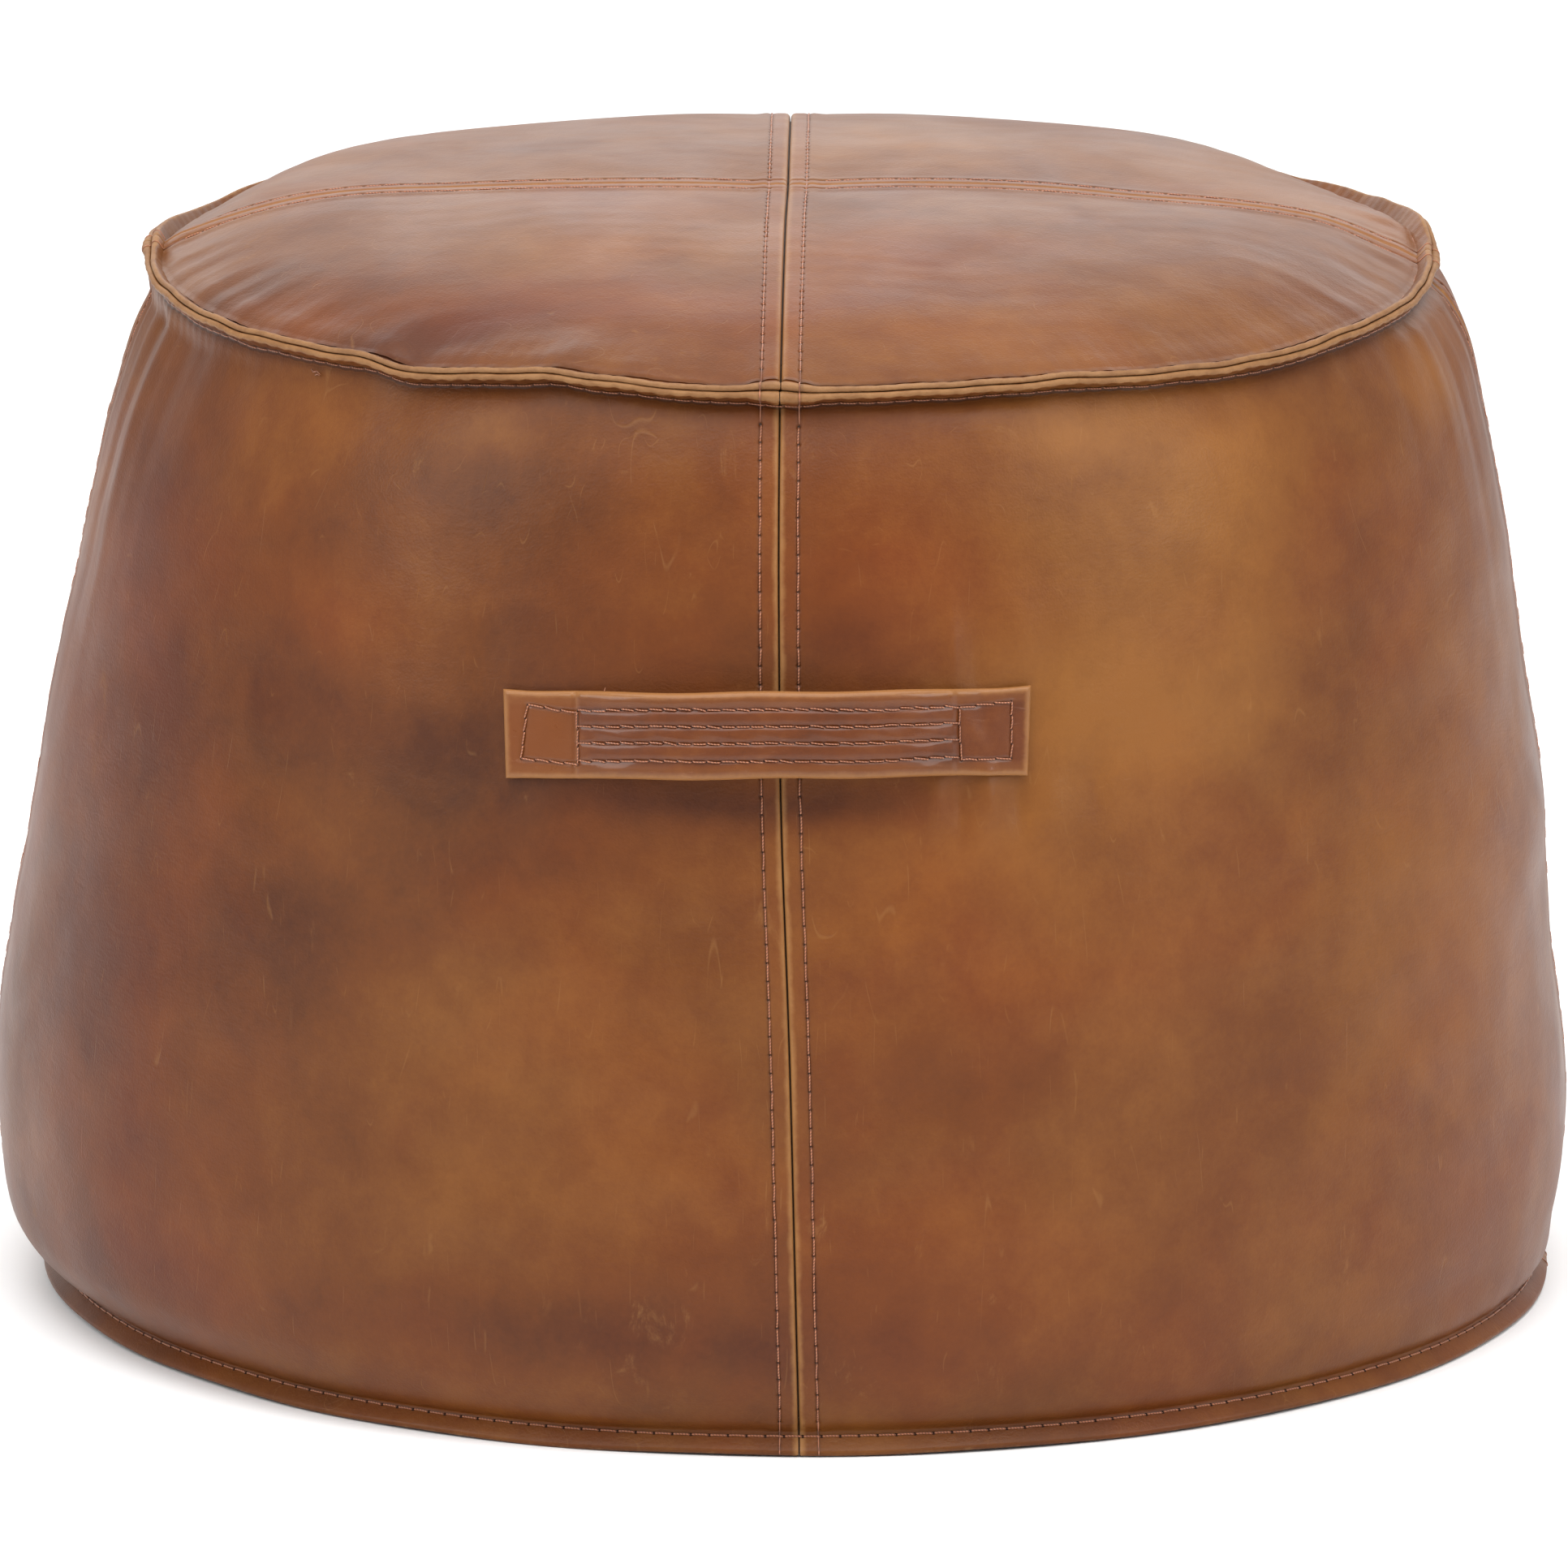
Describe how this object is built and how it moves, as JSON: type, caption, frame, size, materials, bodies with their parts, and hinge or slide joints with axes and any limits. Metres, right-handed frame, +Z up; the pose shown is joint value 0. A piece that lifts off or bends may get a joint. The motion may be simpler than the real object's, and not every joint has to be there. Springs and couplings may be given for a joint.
{
  "type": "leather pouf",
  "caption": "Round leather pouf with a crowned top, raised flanged seams, a padded strap handle, a lined foam fill and a zipped base.",
  "frame": {"origin": "centre of the footprint, on the floor", "axes": "+Z up; the strap handle faces -Y; +X to the right when looking at the handle"},
  "size_m": [0.5858, 0.5858, 0.4204],
  "materials": {
    "cover_leather": "satin",
    "strap_leather": "satin",
    "backing_leather": "matte",
    "base_cloth": "matte",
    "thread": "satin",
    "seam_tape": "matte",
    "strap_core": "matte",
    "zip_tape": "matte",
    "zip_metal": "satin",
    "liner_cloth": "matte",
    "foam": "matte",
    "wadding": "matte"
  },
  "bodies": {
    "root": {"top_panel_front_left": "cover_leather", "top_panel_front_right": "cover_leather", "top_panel_back_left": "cover_leather", "top_panel_back_right": "cover_leather", "side_panel_front_left": "cover_leather", "side_panel_front_right": "cover_leather", "side_panel_back_left": "cover_leather", "side_panel_back_right": "cover_leather", "base_panel_front": "base_cloth", "base_panel_back": "base_cloth", "top_seam_thread_front_back": "thread", "top_seam_thread_left": "thread", "top_seam_thread_right": "thread", "side_seam_thread_front": "thread", "side_seam_thread_right": "thread", "side_seam_thread_back": "thread", "side_seam_thread_left": "thread", "rim_thread": "thread", "hem_thread": "thread", "top_seam_tape_front_back": "seam_tape", "top_seam_tape_left": "seam_tape", "top_seam_tape_right": "seam_tape", "side_seam_tape_front": "seam_tape", "side_seam_tape_right": "seam_tape", "side_seam_tape_back": "seam_tape", "side_seam_tape_left": "seam_tape", "handle_left_end": "strap_leather", "handle_right_end": "strap_leather", "handle_end_thread": "thread", "handle_backing_left": "backing_leather", "handle_backing_right": "backing_leather", "zip_tape_front": "zip_tape", "zip_tape_back": "zip_tape", "zip_teeth_front": "zip_metal", "zip_teeth_back": "zip_metal", "zip_end_stops": "zip_metal", "liner_top": "liner_cloth", "liner_side": "liner_cloth", "liner_base": "liner_cloth", "foam_core": "foam", "side_wadding": "wadding", "crown_pad": "wadding"},
    "handle_grip": {"handle_grip": "strap_leather", "handle_core": "strap_core", "handle_grip_thread": "thread"},
    "zip_slider": {"zip_slider": "zip_metal"},
    "zip_pull": {"zip_pull": "zip_metal"}
  },
  "joints": [
    {"name": "handle_lift", "type": "slide", "parent": "root", "child": "handle_grip", "axis": [-0.0241, -0.9876, 0.1551], "range_m": [0, 0.015], "stiffness_N_per_m": 300},
    {"name": "zip_slide", "type": "slide", "parent": "root", "child": "zip_slider", "axis": [1, 0, 0], "range_m": [-0.365, 0]},
    {"name": "zip_pull_hinge", "type": "hinge", "parent": "zip_slider", "child": "zip_pull", "pos_m": [0.1825, 0, 0.00215], "axis": [0, -1, 0], "range_deg": [-3, 110]}
  ]
}
